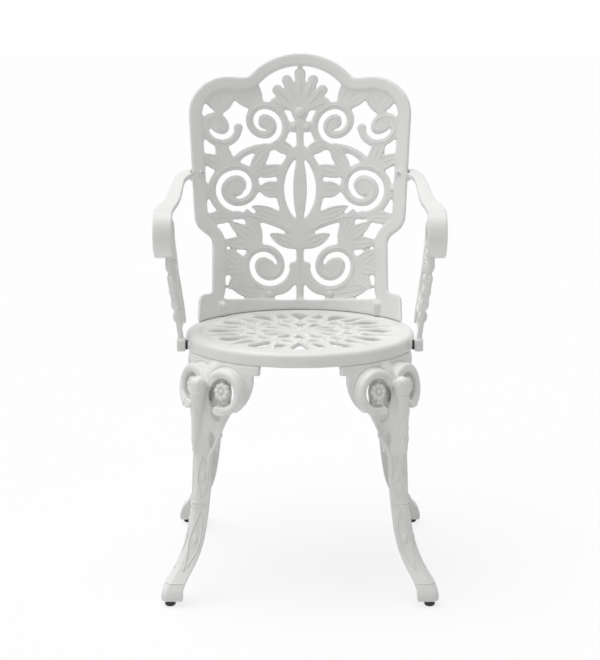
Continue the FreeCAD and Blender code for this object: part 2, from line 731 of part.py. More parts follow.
def web_face():
    """Front view of the right web: a pointed strip from the scroll to the leg, tied by two leaves."""
    low = RIM_BOTTOM - size("bracket_drop")
    shoulder = Vector(BRACKET_REACH * 0.7, low + 24, 0)
    ankle = Vector(24, low - 64, 0)
    inner = Vector(36, low + 14, 0)
    strip = face_of([
        arc(shoulder, Vector(38, low - 12, 0), ankle),
        arc(ankle, Vector(25, low - 18, 0), inner),
        line(inner, shoulder),
    ])
    ties = [
        leaf(Vector(4, low - 32, 0), Vector(38, low + 4, 0), 13),
        leaf(Vector(4, low + 14, 0), Vector(40, low + 26, 0), 12),
    ]
    return joined([strip, knee_plate_face()] + ties)


def web_windows():
    """Front views of the openings between the stem, the scroll and the right web."""
    low = RIM_BOTTOM - size("bracket_drop")
    return [
        leaf(Vector(15, low + 13, 0), Vector(27, low - 7, 0), 13),
        leaf(Vector(15, low - 22, 0), Vector(19, low - 58, 0), 9),
    ]


def knee_scroll_face():
    """Front view of the bold scroll on the right of the knee, open towards the stem."""
    faces = [band(KNEE_SCROLL, KNEE_SCROLL_RADIUS, -105, 155, KNEE_SCROLL_WIDTH)]
    for angle in (-105, 155):
        faces.append(disc(point(KNEE_SCROLL_RADIUS, angle, KNEE_SCROLL), KNEE_SCROLL_WIDTH / 2))
    return joined(faces)


def knee_leaf_face():
    """Front view of the leaf that hangs inside the scroll."""
    root = point(KNEE_SCROLL_RADIUS, 100, KNEE_SCROLL)
    return leaf(root, point(KNEE_SCROLL_RADIUS, -78, KNEE_SCROLL), 17)


def wing_prism(face, side):
    """Front-view shape drawn out square to the right or left wing; side is 1, -1, or 0 for the middle."""
    drawn = face if side >= 0 else mirrored([face])[1]
    prism = upright(drawn, 120, 200)
    prism.rotate(KNEE_PIVOT, Vector(0, 0, 1), KNEE_TURN * side)
    return prism


def to_corner(shape):
    """Shape of the knee turned to the leg's corner."""
    shape.rotate(Vector(0, 0, 0), Vector(0, 0, 1), 45)
    return shape


def on_knee(face, side, thickness, proud):
    """Front-view shape on the knee's cone."""
    cones = []
    for depth in (-proud, thickness - proud):
        tip = KNEE_TIP + KNEE_AXIS * (depth / math.sin(KNEE_OPENING))
        cones.append(Part.makeCone(0, KNEE_TALL * math.tan(KNEE_OPENING), KNEE_TALL, tip, KNEE_AXIS))
    return to_corner(cones[0].cut(cones[1]).common(wing_prism(face, side)))


def knee_stem():
    """Round stem on the ridge."""
    run = STEM_TIP - STEM_TOP
    stem = Part.makeCone(STEM_TOP_RADIUS, STEM_TIP_RADIUS, run.Length, STEM_TOP, run)
    return to_corner(stem.fuse(Part.makeSphere(STEM_TOP_RADIUS, STEM_TOP)))


def leg_bolt_place(leg_angle, side, height):
    """Place on a leg bolt's axis."""
    place = point(size("bolt_circle"), leg_angle + side * size("leg_bolt_angle"))
    return Vector(place.x, place.y, height)


def make_leg():
    thick = size("flange_thickness")
    spread = size("bracket_angle") - 2
    width = SEAT_R - 3 - FLANGE_INNER
    under = Vector(0, 0, RIM_BOTTOM - thick)
    sector = band(under, FLANGE_INNER + width / 2, 45 - spread, 45 + spread, width)
    flange = sector.extrude(Vector(0, 0, thick))
    thickness = size("bracket_thickness")
    plates = [flange, on_knee(bracket_face(), 0, thickness, 0)]
    windows = []
    raised = [knee_stem()]
    for side in (1, -1):
        plates.append(on_knee(web_face(), side, thickness, 0))
        windows += [to_corner(wing_prism(window, side)) for window in web_windows()]
        for face, proud in ((knee_scroll_face(), KNEE_SCROLL_PROUD), (knee_leaf_face(), KNEE_LEAF_PROUD)):
            raised.append(on_knee(face, side, thickness + proud, proud))
    leg = leg_shaft().multiFuse(plates).cut(windows).multiFuse(raised)
    holes = []
    for side in (1, -1):
        holes.append(rod(leg_bolt_place(45, side, RIM_BOTTOM - 20), Vector(0, 0, 1), 30, LEG_HOLE))
    spread = size("foot_spread")
    bore = size("stud_diameter") / 2 + size("stud_play")
    foot = Vector(spread, spread, size("glide_height"))
    holes.append(rod(foot, Vector(0, 0, 1), size("stud_length") + 2, bore))
    return solid_of(leg.cut(holes))


# Seat: a turned body, pierced with a ring of windows, then bosses and bolt holes

SECTORS = 12


def make_seat_body():
    top = "-sizes.plate_drop"
    under = "-sizes.plate_drop - sizes.plate_thickness"
    wall = "sizes.seat_radius - sizes.rim_wall"
    body = turned("seat_turning", [
        ("0", top),
        ("sizes.seat_radius - sizes.rim_band", top),
        ("sizes.seat_radius - sizes.rim_band + 3", "0"),
        ("sizes.seat_radius", "0"),
        ("sizes.seat_radius", "-sizes.rim_height"),
        (wall, "-sizes.rim_height"),
        (wall, under),
        ("0", under),
    ])
    doc.recompute()
    turn = body.Tip
    names = []
    for number, edge in enumerate(turn.Shape.Edges, 1):
        circle = edge.Curve.TypeId == "Part::GeomCircle"
        if circle and abs(edge.Curve.Radius - SEAT_R) < 0.01 and abs(edge.BoundBox.ZMax) < 0.01:
            names.append("Edge%d" % number)
    fillet = body.newObject("PartDesign::Fillet", "rim_rounding")
    fillet.Base = (turn, names)
    fillet.setExpression("Radius", "sizes.rim_round")
    sketch = body.newObject("Sketcher::SketchObject", "seat_windows")
    sketch.AttachmentSupport = (plane(body, "XY_Plane"), [""])
    sketch.MapMode = "FlatFace"
    share = (SEAT_R - size("rim_band")) / 174
    half = 180 / SECTORS
    windows = [
        drop(point(30 * share, 0), point(59 * share, 0), 9 * share),
        drop(point(97 * share, 0), point(143 * share, 0), 15 * share),
        drop(point(162 * share, half), point(122 * share, half), 9 * share),
        disc(point(88 * share, half), 8 * share),
    ]
    for window in windows:
        for edge in window.OuterWire.OrderedEdges:
            sketch.addGeometry(edge_geometry(edge))
    pocket = body.newObject("PartDesign::Pocket", "seat_piercing")
    pocket.Profile = sketch
    pocket.Type = "ThroughAll"
    pattern = body.newObject("PartDesign::PolarPattern", "seat_ring")
    pattern.Originals = [pocket]
    pattern.Axis = (sketch, ["N_Axis"])
    pattern.Angle = 360
    pattern.Occurrences = SECTORS
    body.Tip = pattern
    body.Placement = Placement(Vector(0, 0, SEAT_Z), Rotation())
    doc.recompute()
    return body


def edge_geometry(edge):
    """Sketch geometry of a straight or round edge."""
    if edge.Curve.TypeId == "Part::GeomLine":
        return Part.LineSegment(edge.Vertexes[0].Point, edge.Vertexes[-1].Point)
    if edge.isClosed():
        return Part.Circle(edge.Curve.Center, Vector(0, 0, 1), edge.Curve.Radius)
    middle = edge.valueAt((edge.FirstParameter + edge.LastParameter) / 2)
    return Part.Arc(edge.Vertexes[0].Point, middle, edge.Vertexes[-1].Point)


def make_seat():
    seat = make_seat_body().Shape
    up = Vector(0, 0, 1)
    additions = []
    holes = []
    for angle in LEG_ANGLES.values():
        for side in (1, -1):
            foot = leg_bolt_place(angle, side, RIM_BOTTOM)
            additions.append(rod(foot, up, PLATE_UNDER - RIM_BOTTOM + 1, 9))
            holes.append(rod(foot, up, PLATE_UNDER - RIM_BOTTOM, LEG_HOLE))
    for side in (1, -1):
        holes.append(rod(back_bolt_place(side, PLATE_UNDER - 5), up, 40, SMALL_HOLE))
        outward = Vector(side, 0, 0)
        start = Vector(side * (RIM_BOSS_FACE - 13), ARM_BOLT_PLACE.y, ARM_BOLT_PLACE.z)
        additions.append(rod(start, outward, 13, 8.4))
        holes.append(rod(start - outward, outward, 16, SMALL_HOLE))
    return solid_of(seat.multiFuse(additions).cut(holes))


# Bought-in pieces: glides, studs, bolts, screws, washers and spacers

def hex_bolt(name, diameter, head_radius, head_height, length):
    """Hexagon bolt with its head below the origin and its shank up the Z axis; sizes are expressions."""
    head = doc.addObject("Part::Prism", name + "_head")
    head.Polygon = 6
    head.setExpression("Circumradius", head_radius)
    head.setExpression("Height", head_height)
    head.setExpression("Placement.Base.z", "-(%s)" % head_height)
    shank = doc.addObject("Part::Cylinder", name + "_shank")
    shank.setExpression("Radius", "(%s) / 2" % diameter)
    shank.setExpression("Height", length)
    bolt = doc.addObject("Part::Fuse", name)
    bolt.Base = head
    bolt.Tool = shank
    return bolt


def moved(master, place, direction=Vector(0, 0, 1)):
    """Copy of a piece with its Z axis turned to a direction."""
    shape = master.Shape.copy()
    shape.Placement = Placement(place, Rotation(Vector(0, 0, 1), direction))
    return shape


def group(master, places):
    """Upright copies of a piece at several places, as one node."""
    return Part.Compound([moved(master, place) for place in places])


def make_hardware():
    """Masters of the bought-in pieces."""
    play = "sizes.bolt_play"
    masters = {}
    masters["glide"] = turned("glide_master", [
        ("0", "0"),
        ("sizes.glide_diameter / 2 - 2", "0"),
        ("sizes.glide_diameter / 2", "2"),
        ("sizes.glide_diameter / 2", "sizes.glide_height"),
        ("sizes.stud_diameter / 2", "sizes.glide_height"),
        ("sizes.stud_diameter / 2", "sizes.glide_height - 6"),
        ("0", "sizes.glide_height - 6"),
    ])
    masters["stud"] = turned("stud_master", [
        ("0", "sizes.glide_height - 6"),
        ("sizes.stud_diameter / 2", "sizes.glide_height - 6"),
        ("sizes.stud_diameter / 2", "sizes.glide_height + sizes.stud_length - 1"),
        ("sizes.stud_diameter / 2 - 1", "sizes.glide_height + sizes.stud_length"),
        ("0", "sizes.glide_height + sizes.stud_length"),
    ])
    masters["leg_bolt"] = hex_bolt(
        "leg_bolt_master",
        "sizes.bolt_diameter",
        "sizes.bolt_diameter * 0.9",
        "sizes.bolt_diameter * 0.6",
        "sizes.washer_thickness + sizes.flange_thickness + 12",
    )
    masters["back_bolt"] = hex_bolt(
        "back_bolt_master",
        "sizes.small_bolt_diameter",
        "sizes.small_bolt_diameter * 0.95",
        "sizes.small_bolt_diameter * 0.65",
        "sizes.washer_thickness + sizes.plate_thickness + sizes.plate_drop + 20",
    )
    masters["arm_bolt"] = hex_bolt(
        "arm_bolt_master",
        "sizes.small_bolt_diameter",
        "sizes.small_bolt_diameter * 0.9",
        "sizes.small_bolt_diameter * 0.65",
        "13 + sizes.spacer_thickness + 10",
    )
    for name, bolt, rim in (
        ("leg_washer", "sizes.bolt_diameter", "8"),
        ("back_washer", "sizes.small_bolt_diameter", "7"),
    ):
        inner = "%s / 2 + %s" % (bolt, play)
        masters[name] = turned(name + "_master", [
            (inner, "0"),
            (rim, "0"),
            (rim, "sizes.washer_thickness"),
            (inner, "sizes.washer_thickness"),
        ])
    spacer_bore = "sizes.small_bolt_diameter / 2 + " + play
    masters["spacer"] = turned("spacer_master", [
        (spacer_bore, "0"),
        ("8.4", "0"),
        ("8.4", "sizes.spacer_thickness"),
        (spacer_bore, "sizes.spacer_thickness"),
    ])
    blank = turned("screw_blank", [
        ("0", "-sizes.screw_head"),
        ("sizes.screw_head_radius - 2", "-sizes.screw_head"),
        ("sizes.screw_head_radius", "-sizes.screw_head / 2"),
        ("sizes.screw_head_radius", "0"),
        ("sizes.small_bolt_diameter / 2", "0"),
        ("sizes.small_bolt_diameter / 2", "sizes.frame_thickness + 11"),
        ("0", "sizes.frame_thickness + 11"),
    ])
    socket = doc.addObject("Part::Prism", "screw_socket")
    socket.Polygon = 6
    socket.setExpression("Circumradius", "sizes.small_bolt_diameter * 0.36")
    socket.setExpression("Height", "sizes.screw_head * 0.7")
    socket.setExpression("Placement.Base.z", "-sizes.screw_head")
    masters["screw"] = doc.addObject("Part::Cut", "screw_master")
    masters["screw"].Base = blank
    masters["screw"].Tool = socket
    doc.recompute()
    return masters


# All pieces in place

def make_chair():
    hardware = make_hardware()
    up = Vector(0, 0, 1)
    node("seat_plate", make_seat())
    node("back_panel", make_back())
    arm = make_arm()
    node("right_arm", arm)
    node("left_arm", arm.mirror(Vector(0, 0, 0), Vector(1, 0, 0)))
    leg = make_leg()
    washer = size("washer_thickness")
    for name, angle in LEG_ANGLES.items():
        corner = leg.copy()
        corner.rotate(Vector(0, 0, 0), up, angle - 45)
        node(name + "_leg", corner)
        foot = point(size("foot_spread") * math.sqrt(2), angle)
        node(name + "_glide", moved(hardware["glide"], foot))
        node(name + "_stud", moved(hardware["stud"], foot))
        under = RIM_BOTTOM - size("flange_thickness") - washer
        places = [leg_bolt_place(angle, side, under) for side in (1, -1)]
        node(name + "_leg_washers", group(hardware["leg_washer"], places))
        node(name + "_leg_bolts", group(hardware["leg_bolt"], places))
    places = [back_bolt_place(side, PLATE_UNDER - washer) for side in (1, -1)]
    node("back_washers", group(hardware["back_washer"], places))
    node("back_bolts", group(hardware["back_bolt"], places))
    for name, side in (("right", 1), ("left", -1)):
        outward = Vector(side, 0, 0)
        face = Vector(side * RIM_BOSS_FACE, ARM_BOLT_PLACE.y, ARM_BOLT_PLACE.z)
        node(name + "_arm_spacer", moved(hardware["spacer"], face, outward))
        node(name + "_arm_bolt", moved(hardware["arm_bolt"], face - outward * 13, outward))
        axis = Vector(side * SCREW_AXIS.x, SCREW_AXIS.y, SCREW_AXIS.z)
        place = Vector(side * SCREW_PLACE.x, SCREW_PLACE.y, SCREW_PLACE.z)
        node(name + "_arm_screw", moved(hardware["screw"], place - axis * HEAD_FACE, axis))


make_chair()

# The origin is on the floor under the middle of the overall box
pieces = list(NODES.values())
ahead = min(piece.Shape.BoundBox.YMin for piece in pieces if piece.Name != "back_panel")
crest = BACK_PLACE.multVec(Vector(0, size("back_height"), 0))
astern = (crest + behind(crest) * FRAME_HALF).y
for piece in pieces:
    piece.Placement = Placement(Vector(0, -(ahead + astern) / 2, 0), Rotation()).multiply(piece.Placement)
doc.recompute()

for item in doc.Objects:
    if "Invalid" in item.State or "Error" in item.State:
        raise RuntimeError("%s did not compute" % item.Name)
os.makedirs("parts", exist_ok=True)
for name, piece in NODES.items():
    if piece.Shape.isNull() or not piece.Shape.isValid():
        raise RuntimeError("%s has no valid shape" % name)
    piece.Label = name
    piece.Shape.exportStep("parts/%s.step" % name)
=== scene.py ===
import math

import bmesh
import bpy
from mathutils import Euler, Matrix, Vector
from mathutils.bvhtree import BVHTree


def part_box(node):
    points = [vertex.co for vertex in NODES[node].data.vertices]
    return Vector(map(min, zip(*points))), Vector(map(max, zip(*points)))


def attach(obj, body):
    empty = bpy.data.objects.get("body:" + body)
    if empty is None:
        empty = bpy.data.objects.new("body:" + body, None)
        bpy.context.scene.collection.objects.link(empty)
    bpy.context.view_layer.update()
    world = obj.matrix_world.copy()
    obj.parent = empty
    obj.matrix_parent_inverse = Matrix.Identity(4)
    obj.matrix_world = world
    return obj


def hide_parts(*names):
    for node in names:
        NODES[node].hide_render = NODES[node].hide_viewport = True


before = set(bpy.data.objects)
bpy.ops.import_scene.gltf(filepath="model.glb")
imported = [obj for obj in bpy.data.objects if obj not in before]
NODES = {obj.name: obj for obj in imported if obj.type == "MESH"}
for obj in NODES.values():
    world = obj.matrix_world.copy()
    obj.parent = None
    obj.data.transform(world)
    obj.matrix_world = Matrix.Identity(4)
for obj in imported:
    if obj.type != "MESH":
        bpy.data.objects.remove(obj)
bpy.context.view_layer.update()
CORNERS = ("front_left", "front_right", "rear_right", "rear_left")
MM = 0.001


# Colours and material nodes

def linear(code):
    """Linear colour of an sRGB hex value."""
    shares = [int(code[place:place + 2], 16) / 255 for place in (0, 2, 4)]
    return [s / 12.92 if s <= 0.04045 else ((s + 0.055) / 1.055) ** 2.4 for s in shares] + [1.0]


def add_node(tree, kind, settings=None, values=None, links=None):
    """Node with its settings, its socket values and its incoming links."""
    made = tree.nodes.new(kind)
    for name, value in (settings or {}).items():
        setattr(made, name, value)
    for name, value in (values or {}).items():
        made.inputs[name].default_value = value
    for name, source in (links or {}).items():
        tree.links.new(source, made.inputs[name])
    return made


def new_material(name):
    """Empty node material with its Object coordinates and its output."""
    material = bpy.data.materials.new(name)
    material.use_nodes = True
    tree = material.node_tree
    tree.nodes.clear()
    place = add_node(tree, "ShaderNodeTexCoord").outputs["Object"]
    output = add_node(tree, "ShaderNodeOutputMaterial")
    return material, tree, place, output


def per_metre(millimetres):
    """Texture scale that makes one cell this many millimetres wide."""
    return 1 / (millimetres * MM)


def white_powder_coat():
    """Baked polyester powder on cast aluminium.

    Satin white, with a fine orange peel over the slow waves of the sand-cast skin.
    """
    material, tree, place, output = new_material("white_powder_coat")
    peel = add_node(tree, "ShaderNodeTexNoise", values={"Scale": per_metre(1.6), "Detail": 2.0},
                    links={"Vector": place})
    skin = add_node(tree, "ShaderNodeTexNoise", values={"Scale": per_metre(14), "Detail": 3.0},
                    links={"Vector": place})
    cloud = add_node(tree, "ShaderNodeTexNoise", values={"Scale": per_metre(70), "Detail": 4.0},
                     links={"Vector": place})
    tone = add_node(tree, "ShaderNodeValToRGB", links={"Fac": cloud.outputs["Fac"]})
    tone.color_ramp.elements[0].position = 0.3
    tone.color_ramp.elements[0].color = linear("E2E2E0")
    tone.color_ramp.elements[1].position = 0.7
    tone.color_ramp.elements[1].color = linear("E8E8E6")
    gloss = add_node(tree, "ShaderNodeMapRange",
                     values={"To Min": 0.38, "To Max": 0.48}, links={"Value": skin.outputs["Fac"]})
    wavy = add_node(tree, "ShaderNodeBump", values={"Strength": 0.12, "Distance": 0.6 * MM},
                    links={"Height": skin.outputs["Fac"]})
    rough = add_node(tree, "ShaderNodeBump", values={"Strength": 0.10, "Distance": 0.12 * MM},
                     links={"Height": peel.outputs["Fac"], "Normal": wavy.outputs["Normal"]})
    shader = add_node(tree, "ShaderNodeBsdfPrincipled", values={"IOR": 1.5},
                      links={"Base Color": tone.outputs["Color"], "Roughness": gloss.outputs["Result"],
                             "Normal": rough.outputs["Normal"]})
    tree.links.new(shader.outputs["BSDF"], output.inputs["Surface"])
    return material


def black_nylon():
    """Injection-moulded nylon: near black and dull.

    Its spark-eroded grain is drawn coarser than the real one, so that it shows.
    """
    material, tree, place, output = new_material("black_nylon")
    grain = add_node(tree, "ShaderNodeTexNoise", values={"Scale": per_metre(0.8), "Detail": 2.0},
                     links={"Vector": place})
    tone = add_node(tree, "ShaderNodeValToRGB", links={"Fac": grain.outputs["Fac"]})
    tone.color_ramp.elements[0].color = linear("161617")
    tone.color_ramp.elements[1].color = linear("232324")
    bump = add_node(tree, "ShaderNodeBump", values={"Strength": 0.25, "Distance": 0.1 * MM},
                    links={"Height": grain.outputs["Fac"]})
    shader = add_node(tree, "ShaderNodeBsdfPrincipled", values={"IOR": 1.53, "Roughness": 0.5},
                      links={"Base Color": tone.outputs["Color"], "Normal": bump.outputs["Normal"]})
    tree.links.new(shader.outputs["BSDF"], output.inputs["Surface"])
    return material


def black_rubber():
    """Moulded rubber: black, matt, slightly bloomed to grey in patches."""
    material, tree, place, output = new_material("black_rubber")
    bloom = add_node(tree, "ShaderNodeTexNoise", values={"Scale": per_metre(3), "Detail": 4.0},
                     links={"Vector": place})
    tone = add_node(tree, "ShaderNodeValToRGB", links={"Fac": bloom.outputs["Fac"]})
    tone.color_ramp.elements[0].color = linear("1A1A1B")
    tone.color_ramp.elements[1].color = linear("2E2E2F")
    shader = add_node(tree, "ShaderNodeBsdfPrincipled", values={"IOR": 1.52, "Roughness": 0.75},
                      links={"Base Color": tone.outputs["Color"]})
    tree.links.new(shader.outputs["BSDF"], output.inputs["Surface"])
    return material


def zinc_plated_steel():
    """Bright zinc on machined steel: pale grey metal with a cloudy, uneven shine."""
    material, tree, place, output = new_material("zinc_plated_steel")
    cloud = add_node(tree, "ShaderNodeTexNoise", values={"Scale": per_metre(2.5), "Detail": 3.0},
                     links={"Vector": place})
    tone = add_node(tree, "ShaderNodeValToRGB", links={"Fac": cloud.outputs["Fac"]})
    tone.color_ramp.elements[0].color = linear("9B9DA0")
    tone.color_ramp.elements[1].color = linear("BFC1C4")
    gloss = add_node(tree, "ShaderNodeMapRange",
                     values={"To Min": 0.28, "To Max": 0.46}, links={"Value": cloud.outputs["Fac"]})
    shader = add_node(tree, "ShaderNodeBsdfPrincipled", values={"Metallic": 1.0},
                      links={"Base Color": tone.outputs["Color"], "Roughness": gloss.outputs["Result"]})
    tree.links.new(shader.outputs["BSDF"], output.inputs["Surface"])
    return material


FINISHES = {
    "powder_coat": white_powder_coat(),
    "black_nylon": black_nylon(),
    "black_rubber": black_rubber(),
    "zinc_steel": zinc_plated_steel(),
}


# Places on the chair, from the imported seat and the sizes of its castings

LOW, HIGH = (Vector(corner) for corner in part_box("seat_plate"))
SEAT = Vector(((LOW.x + HIGH.x) / 2, (LOW.y + HIGH.y) / 2, HIGH.z))
RECLINE = math.radians(12)
RISE = Vector((0, math.sin(RECLINE), math.cos(RECLINE)))
FORWARD = Vector((0, -math.cos(RECLINE), math.sin(RECLINE)))
BACK_BEHIND = 190
BACK_FOOT = SEAT + Vector((0, BACK_BEHIND * MM, 0))
CORNER_ANGLES = {"front_left": 225, "front_right": 315, "rear_right": 45, "rear_left": 135}
# How far off a ray starts, well outside the chair
FAR = 400 * MM
# Longest step between neighbouring places of one bead
LONGEST_STEP = 9 * MM


def flat_point(radius, angle, centre=(0, 0)):
    """Point at an angle in degrees on a flat circle, in millimetres."""
    turn = math.radians(angle)
    return centre[0] + radius * math.cos(turn), centre[1] + radius * math.sin(turn)


def surface(node):
    """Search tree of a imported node's mesh."""
    shape = bmesh.new()
    shape.from_mesh(NODES[node].data)
    tree = BVHTree.FromBMesh(shape)
    shape.free()
    return tree


def landed(tree, rays, sink, highest_step=FAR):
    """Runs of places where rays meet a surface, sunk a little into it.

    A window ends a run, and a step up onto a higher face ends the whole line.
    """
    runs = [[]]
    for origin, direction in rays:
        place = tree.ray_cast(origin, direction)[0]
        if place is None:
            runs.append([])
            continue
        place = place + direction * sink * MM
        if runs[-1] and (runs[-1][-1] - place).dot(direction) > highest_step:
            break
        if runs[-1] and (runs[-1][-1] - place).length > LONGEST_STEP:
            runs.append([])
        runs[-1].append(place)
    return [run for run in runs if len(run) > 2]


# Castings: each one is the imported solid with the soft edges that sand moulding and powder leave

LEGS = [corner + "_leg" for corner in CORNERS]
CASTINGS = ["seat_plate", "back_panel", "left_arm", "right_arm"] + LEGS
# Cell size in millimetres and rounds of relaxing
CAST_CELLS = {"seat_plate": (2.0, 4), "back_panel": (2.45, 2)}
LIMB_CELLS = (1.6, 5)
# The back's outer edge is rounder: width of that band and extra rounds of relaxing
EDGE_BAND = 14
EDGE_ROUNDS = 14
# Gain that holds the outer part of the band at full weight
EDGE_GAIN = 1.6
# Height of the back's middle, from which its edge is measured
BACK_MIDDLE_UP = 240


def merged_copy(node):
    """New object with a node's mesh, its triangles joined at their corners."""
    mesh = NODES[node].data.copy()
    mesh.materials.clear()
    shape = bmesh.new()
    shape.from_mesh(mesh)
    bmesh.ops.remove_doubles(shape, verts=shape.verts, dist=0.005 * MM)
    shape.to_mesh(mesh)
    shape.free()
    return bpy.data.objects.new("cast_" + node, mesh)


def finished(piece, slot, body="chair"):
    """Links a piece, gives it its finish and lets it ride on its body."""
    piece.data.materials.clear()
    piece.data.materials.append(FINISHES[slot])
    if piece.name not in bpy.context.scene.collection.objects:
        bpy.context.scene.collection.objects.link(piece)
    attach(piece, body)
    return piece


def relaxed(piece, rounds, group=""):
    """Rounds a casting's edges by relaxing its skin."""
    relax = piece.modifiers.new("relax", "SMOOTH")
    relax.factor = 0.5
    relax.iterations = rounds
    relax.vertex_group = group


def celled(piece, voxel):
    """Fills a casting with small cells, so that its skin is even enough to relax."""
    cells = piece.modifiers.new("cells", "REMESH")
    cells.mode = "VOXEL"
    cells.voxel_size = voxel * MM
    cells.use_smooth_shade = True
    bpy.context.scene.collection.objects.link(piece)
    mesh = bpy.data.meshes.new_from_object(piece.evaluated_get(bpy.context.evaluated_depsgraph_get()))
    piece.modifiers.clear()
    piece.data = mesh


def mark_outer_edge(piece):
    """Vertex group of the back's outer edge, from full at the edge to nothing inside its band."""
    middle = BACK_FOOT + RISE * BACK_MIDDLE_UP * MM
    sectors = 360
    polar = []
    reach = [0] * sectors
    for vertex in piece.data.vertices:
        arm = vertex.co - middle
        across, up = arm.x, arm.dot(RISE)
        turn = math.atan2(up, across) / math.tau % 1 * sectors
        polar.append((turn - 0.5, math.hypot(across, up)))
        sector = int(turn) % sectors
        reach[sector] = max(reach[sector], polar[-1][1])
    group = piece.vertex_groups.new(name="outer_edge")
    for index, (turn, radius) in enumerate(polar):
        sector = math.floor(turn)
        share = turn - sector
        edge = reach[sector % sectors] * (1 - share) + reach[(sector + 1) % sectors] * share
        weight = 1 - (edge - radius) / (EDGE_BAND * MM)
        if weight > 0:
            group.add([index], min(1, weight * EDGE_GAIN), "REPLACE")
    return group.name


def make_castings():
    for node in CASTINGS:
        voxel, rounds = CAST_CELLS.get(node, LIMB_CELLS)
        piece = merged_copy(node)
        celled(piece, voxel)
        relaxed(piece, rounds)
        if node == "back_panel":
            relaxed(piece, EDGE_ROUNDS, mark_outer_edge(piece))
        finished(piece, "powder_coat")
        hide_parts(node)


# Relief: beads, bosses and flowers that stand on the castings as they leave the mould

# Beads from this thickness on are drawn rounder
STOUT_BEAD = 4
# Thickness of an open bead at its ends, and how fast it grows from there
FINE_END = 0.35
END_GROWTH = 4
# Flowers: places and half widths as shares of the radius, and heights in millimetres
PETALS = 8
PETAL_RING = 0.64
PETAL_HALF = 0.36
PETAL_RISE = 4.5
CUSHION_HALF = 0.9
CUSHION_RISE = 2
EYE_HALF = 0.32
EYE_RISE = 6


def beads(name, runs, thickness, closed=False):
    """Thin rounded beads along runs of places; open ones are drawn out to fine ends."""
    data = bpy.data.curves.new(name, "CURVE")
    data.dimensions = "3D"
    data.bevel_depth = thickness * MM / 2
    data.bevel_resolution = 1 if thickness < STOUT_BEAD else 3
    data.use_fill_caps = True
    for run in runs:
        spline = data.splines.new("POLY")
        spline.points.add(len(run) - 1)
        spline.use_cyclic_u = closed and (run[0] - run[-1]).length < LONGEST_STEP
        for index, place in enumerate(run):
            spline.points[index].co = (*place, 1)
            share = index / (len(run) - 1)
            open_radius = min(1, FINE_END + END_GROWTH * min(share, 1 - share))
            spline.points[index].radius = 1 if spline.use_cyclic_u else open_radius
    drawn = bpy.data.objects.new(name, data)
    bpy.context.scene.collection.objects.link(drawn)
    mesh = bpy.data.meshes.new_from_object(drawn.evaluated_get(bpy.context.evaluated_depsgraph_get()))
    bpy.data.objects.remove(drawn)
    mesh.polygons.foreach_set("use_smooth", [True] * len(mesh.polygons))
    return finished(bpy.data.objects.new(name, mesh), "powder_coat")


def relief_piece(name, shape):
    """Turns a bmesh into a smooth white piece."""
    for face in shape.faces:
        face.smooth = True
    mesh = bpy.data.meshes.new(name)
    shape.to_mesh(mesh)
    shape.free()
    return finished(bpy.data.objects.new(name, mesh), "powder_coat")


def standing(place, normal):
    """Own plane of a place on a surface, with Z along the surface's normal."""
    return Matrix.Translation(place) @ normal.to_track_quat("Z", "Y").to_matrix().to_4x4()


def bosses(name, tree, seats):
    """Low domes on a surface; each seat is a ray with the dome's half width, half height and rise."""
    shape = bmesh.new()
    for (origin, direction), wide, tall, rise in seats:
        place, normal, _, _ = tree.ray_cast(origin, direction)
        if place is None:
            continue
        size = Matrix.Diagonal((wide * MM, tall * MM, rise * MM, 1))
        bmesh.ops.create_uvsphere(shape, u_segments=20, v_segments=10, radius=1,
                                  matrix=standing(place, normal) @ size)
    return relief_piece(name, shape)


def domes(shape, plane, spots, rise):
    """Adds low round domes to a bmesh; each spot is across, up and half width in the plane."""
    for across, up, half in spots:
        size = Matrix.Diagonal((half * MM, half * MM, rise * MM, 1))
        spot = Matrix.Translation((across * MM, up * MM, 0))
        bmesh.ops.create_uvsphere(shape, u_segments=12, v_segments=6, radius=1,
                                  matrix=plane @ spot @ size)


def rosettes(name, tree, seats, lift=0):
    """Round flowers on a low cushion; each seat is a ray with the flower's radius."""
    shape = bmesh.new()
    for (origin, direction), radius in seats:
        place, normal, _, _ = tree.ray_cast(origin, direction)
        if place is None:
            continue
        plane = standing(place, normal)
        domes(shape, plane, [(0, 0, radius * CUSHION_HALF)], lift + CUSHION_RISE)
        plane = plane @ Matrix.Translation((0, 0, lift * MM))
        turns = [petal * 360 / PETALS for petal in range(PETALS)]
        petals = [(*flat_point(radius * PETAL_RING, turn), radius * PETAL_HALF) for turn in turns]
        domes(shape, plane, petals, PETAL_RISE)
        domes(shape, plane, [(0, 0, radius * EYE_HALF)], EYE_RISE)
    return relief_piece(name, shape)


def along_line(start, end, first=0.0, last=1.0, steps=14):
    """Flat places along a straight line, between two shares of it."""
    places = []
    for step in range(steps + 1):
        share = first + (last - first) * step / steps
        places.append((start[0] + share * (end[0] - start[0]), start[1] + share * (end[1] - start[1])))
    return places


def along_volute(centre, radius, start, sense, step, halves):
    """Flat places along a scroll of half circles that shrink inward."""
    places = []
    angle = start
    for _ in range(halves):
        places += [flat_point(radius, angle + sense * turn, centre) for turn in range(0, 180, 9)]
        angle = angle + 180 * sense
        centre = flat_point(step, angle, centre)
        radius = radius - step
    return places


def along_arc(centre, radius, start, end, steps=24):
    """Flat places along an arc."""
    turns = [start + (end - start) * step / steps for step in range(steps + 1)]
    return [flat_point(radius, turn, centre) for turn in turns]


# A leaf's lines: how far its midrib and its edge lines run, and where the edge lines lie
MIDRIB_END = 0.86
EDGE_LINE_END = 0.96
EDGE_LINE_OUT = 0.78
LEAF_STEPS = 24


